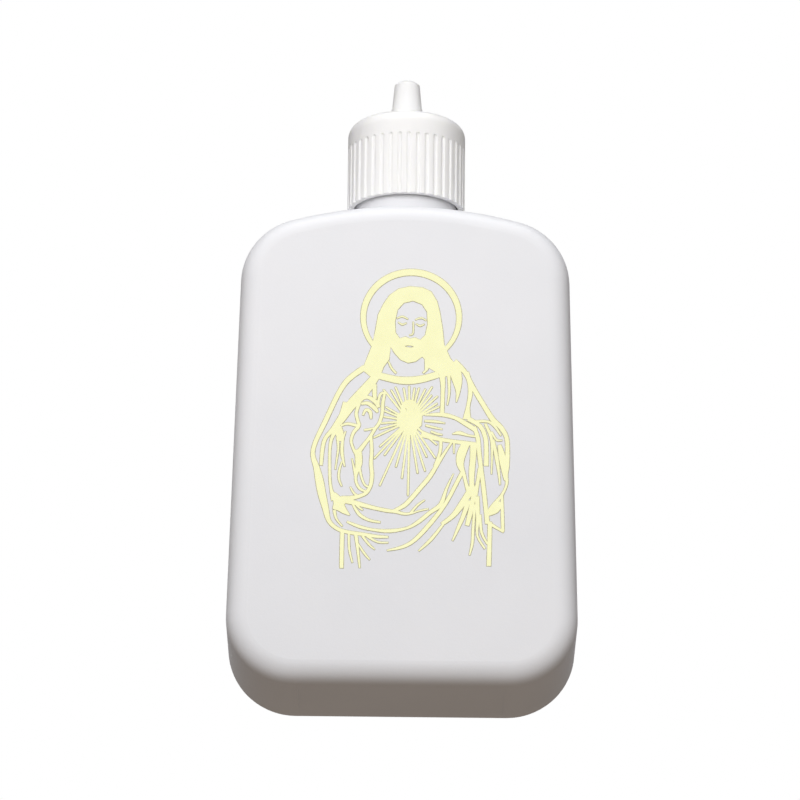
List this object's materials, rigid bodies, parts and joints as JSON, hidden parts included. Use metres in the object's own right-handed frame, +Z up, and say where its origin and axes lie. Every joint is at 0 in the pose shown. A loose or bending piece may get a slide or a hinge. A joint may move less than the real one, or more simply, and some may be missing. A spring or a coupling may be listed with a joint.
{
  "type": "holy water bottle",
  "caption": "Flat plastic squeeze bottle with a gold foil figure on its front, a ribbed screw cap and a short spout that folds down to close.",
  "frame": {"origin": "middle of the base, on the surface it stands on", "axes": "+Z up through the neck and spout, +X to the right seen from the front, -Y out of the printed front"},
  "size_m": [0.066, 0.0291, 0.1248],
  "materials": {
    "bottle_plastic": "satin white polyethylene",
    "liner_foam": "soft foam",
    "cap_plastic": "white polypropylene",
    "spout_plastic": "white polypropylene",
    "gold_foil": "pale gold hot-stamped foil"
  },
  "bodies": {
    "bottle": {"bottle": "bottle_plastic", "front_foil": "gold_foil"},
    "liner": {"seal_liner": "liner_foam"},
    "cap": {"cap": "cap_plastic"},
    "spout": {"flip_spout": "spout_plastic"}
  },
  "joints": [
    {"name": "cap_lift", "type": "slide", "parent": "bottle", "child": "liner", "axis": [0, 0, 1], "range_m": [0, 0.01111]},
    {"name": "cap_twist", "type": "hinge", "parent": "liner", "child": "cap", "pos_m": [0, 0, 0.1], "axis": [0, 0, 1], "range_deg": [0, 1260]},
    {"name": "spout_flip", "type": "hinge", "parent": "cap", "child": "spout", "pos_m": [0, 0, 0.1132], "axis": [-1, 0, 0], "range_deg": [0, 90]}
  ],
  "couplings": [
    {"joint": "cap_lift", "follows": "cap_twist", "m_per_rad": 0.00050532}
  ]
}
